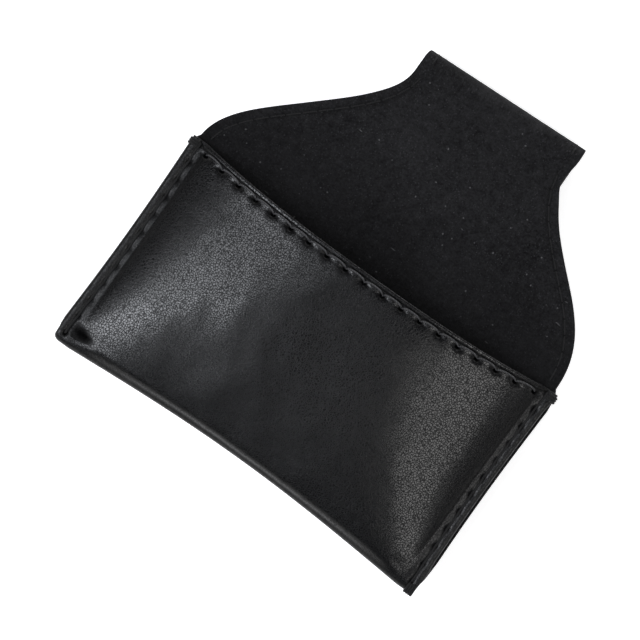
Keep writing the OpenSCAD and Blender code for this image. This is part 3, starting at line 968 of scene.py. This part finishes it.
def build_side_thread(name, side):
    """A side seam's stitches, front and back, sunk in the leather, and the turns wrapped over its top end,
    and over its foot on the right seam.
    """
    sunk, back_sunk, bow = -0.22 * MM, -0.05 * MM, 0.15 * MM * side
    wrap_step = 0.55 * MM
    mouth_wraps, mouth_first, mouth_skew = 3, 0.75 * MM, -0.25 * MM * side
    foot_wraps, foot_first, foot_skew = 4, 0.9 * MM, 0.2 * MM
    holes = side_holes(side)
    paths = []
    for a, b in zip(holes[:-1], holes[1:]):
        paths.append(stitch_path(a, b, (0, 0, 1), sunk, bow))
        back = [np.array([p[0], p[1], Z_BACK]) for p in (a, b)]
        paths.append(stitch_path(*back, (0, 0, -1), back_sunk))
    for k in range(mouth_wraps):
        start = (side * (HALF_W - INSET), Y_MOUTH - (mouth_first + wrap_step * k))
        paths.append(wrapped_path(start, (side, 0), INSET, mouth_skew))
    # Only the right seam is wrapped at its foot
    if side > 0:
        for k in range(foot_wraps):
            start = (HALF_W - (foot_first + wrap_step * k), Y_BOTTOM + INSET)
            paths.append(wrapped_path(start, (0, -1), SEAM_FOOT, foot_skew))
    return joined_tubes(name, paths, THREAD_R)


def flat_stitches(holes, faces, proud, shift=0.0):
    """Stitches along holes on two level faces, each given by its height and its direction."""
    paths = []
    for z, up in faces:
        points = np.column_stack([holes, np.full(len(holes), z)])
        for a, b in zip(points[:-1], points[1:]):
            paths.append(stitch_path(a, b, (0, 0, up), proud, shift))
    return paths


def fold_stitches(x):
    """Three stitches over the outside of the top fold, which dip at their ends."""
    sink = np.array([0.5, 0.1, 0, 0, 0, 0, 0, 0.1, 0.5]) * MM
    r = LOOP_R + SHEET_T - 0.10 * MM - sink
    count, span, gap = 3, 60, 3
    paths = []
    for k in range(count):
        turn = np.radians(np.linspace(90 - span * k - gap, 90 - span * (k + 1) + gap, len(sink)))
        y = Y_FOLD + FOLD_SKEW * (x - NECK_X) + r * np.cos(turn)
        paths.append(np.stack([x + 0 * r, y, Z_LOOP + r * np.sin(turn)], 1))
    return paths


def build_edge_thread():
    """Stitching round the panel, over the fold and round the tongue, on the velour and on the leather."""
    proud, bow = 0.03 * MM, 0.12 * MM
    panel_sink, tongue_sink = 0.26 * MM, 0.2 * MM
    panel_faces = ((Z_BACK + SHEET_T - panel_sink, 1), (Z_BACK, -1))
    tongue_faces = ((Z_TONGUE, 1), (Z_TONGUE - SHEET_T + tongue_sink, -1))
    paths = []
    for side in (-1, 1):
        paths += flat_stitches(panel_edge_holes(side), panel_faces, proud, bow * side)
        paths += fold_stitches(NECK_X + side * (NECK_HALF - INSET))
    paths += flat_stitches(tongue_edge_holes(), tongue_faces, proud)
    return joined_tubes("edge_stitches", paths, EDGE_THREAD_R)


# ---------------------------------------------------------------- floor, light and camera

def paper_material():
    """White paper, bright enough to stay white round the holder."""
    n = Nodes("white_paper")
    n.shader.inputs["Base Color"].default_value = (0.90, 0.90, 0.90, 1)
    n.shader.inputs["Roughness"].default_value = 0.8
    n.shader.inputs["Emission Color"].default_value = (1, 1, 1, 1)
    n.shader.inputs["Emission Strength"].default_value = 0.65
    return n.material


def add_floor():
    """A wide sheet of paper just under the holder."""
    half, gap = 3.0, 0.02 * MM
    mesh = bpy.data.meshes.new("floor")
    corners = [(-half, -half, 0), (half, -half, 0), (half, half, 0), (-half, half, 0)]
    mesh.from_pydata(corners, [], [(0, 1, 2, 3)])
    floor = bpy.data.objects.new("floor", mesh)
    bpy.context.collection.objects.link(floor)
    floor.location.z = CAD_BOX[0][2] - gap
    dress(floor, paper_material())


def soft_box(name, tilt, spread, brightness, colour=(1, 1, 1), lean=0.0, distance=0.9):
    """A rectangular soft box that faces the holder.

    tilt is how far it stands from straight overhead, to the right and up the holder. spread is half its width
    and half its height. All are degrees as seen from the holder. lean turns it clockwise.
    """
    data = bpy.data.lights.new(name, "AREA")
    data.shape = "RECTANGLE"
    data.size = 2 * distance * math.tan(math.radians(spread[0]))
    data.size_y = 2 * distance * math.tan(math.radians(spread[1]))
    data.energy = brightness * math.pi * data.size * data.size_y
    data.color = colour
    light = bpy.data.objects.new(name, data)
    back = Vector((math.tan(math.radians(tilt[0])), math.tan(math.radians(tilt[1])), 1)).normalized()
    upright = Vector((math.sin(math.radians(lean)), math.cos(math.radians(lean)), 0))
    up = (upright - upright.dot(back) * back).normalized()
    light.matrix_world = Matrix((up.cross(back), up, back)).transposed().to_4x4()
    light.location = back * distance
    bpy.context.collection.objects.link(light)


def add_lights():
    """Soft boxes that give the highlights on the front's left and right, and on its upper and lower edges."""
    cool, warm = (0.92, 0.945, 1.0), (1.0, 0.99, 0.98)
    soft_box("left_box", (-24.5, -9), (10, 12), 4.3, cool, lean=22)
    soft_box("low_left_box", (-29, -30), (15, 14), 4.8, cool)
    soft_box("top_box", (-7, 0), (5.5, 5.5), 1.5, cool)
    soft_box("right_box", (31, -7.5), (11, 15.5), 2.9, warm, lean=20)
    soft_box("far_box", (6, 65.8), (24, 10), 3.2, distance=1.1)
    soft_box("near_box", (-6, -73.3), (24, 8), 0.4, distance=1.1)


def add_world():
    """A studio that is dark overhead and light low down on its walls."""
    wall, wall_colour = 0.22, (0.66, 0.65, 0.64, 1)
    ceiling, ceiling_colour = 0.50, (0.085, 0.087, 0.092, 1)
    world = bpy.data.worlds.new("studio")
    world.use_nodes = True
    tree = world.node_tree
    coords = tree.nodes.new("ShaderNodeTexCoord")
    split = tree.nodes.new("ShaderNodeSeparateXYZ")
    ramp = tree.nodes.new("ShaderNodeValToRGB")
    ramp.color_ramp.elements[0].position = wall
    ramp.color_ramp.elements[0].color = wall_colour
    ramp.color_ramp.elements[1].position = ceiling
    ramp.color_ramp.elements[1].color = ceiling_colour
    tree.links.new(coords.outputs["Generated"], split.inputs["Vector"])
    tree.links.new(split.outputs["Z"], ramp.inputs["Fac"])
    background = tree.nodes["Background"]
    tree.links.new(ramp.outputs["Color"], background.inputs["Color"])
    background.inputs["Strength"].default_value = 1.0
    bpy.context.scene.world = world


def add_camera():
    """Straight above the holder, which lies turned in the picture."""
    lens, sensor = 150, 36
    picture_width, turn = 145.2 * MM, 35.7
    look_x, look_y = -3.1 * MM, Y_MOUTH - 17.5 * MM
    data = bpy.data.cameras.new("camera")
    data.lens, data.sensor_width = lens, sensor
    data.clip_start, data.clip_end = 0.01, 20
    camera = bpy.data.objects.new("camera", data)
    camera.location = (look_x, look_y, Z_BACK + SHEET_T + picture_width * lens / sensor)
    camera.rotation_euler = (0, 0, math.radians(turn))
    bpy.context.collection.objects.link(camera)
    bpy.context.scene.camera = camera
    bpy.context.scene.view_settings.view_transform = "Standard"


# ---------------------------------------------------------------- assembly

def main():
    """Builds the scene, hides the CAD parts that its pieces replace and hangs some pieces on the holder's
    body.
    """
    leather, velour, nickel = leather_material(), velour_material(), nickel_material()
    # One black thread in two copies: the mouth's is painted lighter as a painted highlight, the sunk seam and
    # edge stitches darker as painted shade
    waxed_painted_light = thread_material("waxed_thread_painted_light", 0.016, 0.065, 0.38)
    sunk = thread_material("dull_thread_painted_shade", 0.0012, 0.006, 0.75)
    sheet, lining = build_sheets(leather, velour)
    mouth = build_mouth_thread()
    left = build_side_thread("left_seam_stitches", -1)
    right = build_side_thread("right_seam_stitches", 1)
    edge = build_edge_thread()
    for piece, thread in ((mouth, waxed_painted_light), (left, sunk), (right, sunk), (edge, sunk)):
        dress(piece, thread)

    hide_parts("front_leather", "back_leather", "fold_leather", "tongue_leather")
    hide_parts("front_lining", "back_lining", "fold_lining", "tongue_lining")
    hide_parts("mouth_thread")
    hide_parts("left_seam_thread")
    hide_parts("right_seam_thread")
    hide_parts("panel_edge_thread", "fold_thread", "tongue_thread")
    for piece in (mouth, left, right):
        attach(piece, "holder")
    for piece in (sheet, lining, edge):
        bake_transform(piece)

    for name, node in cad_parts.items():
        if name.startswith("snap_"):
            dress(node, nickel)

    add_floor()
    add_lights()
    add_world()
    add_camera()


main()
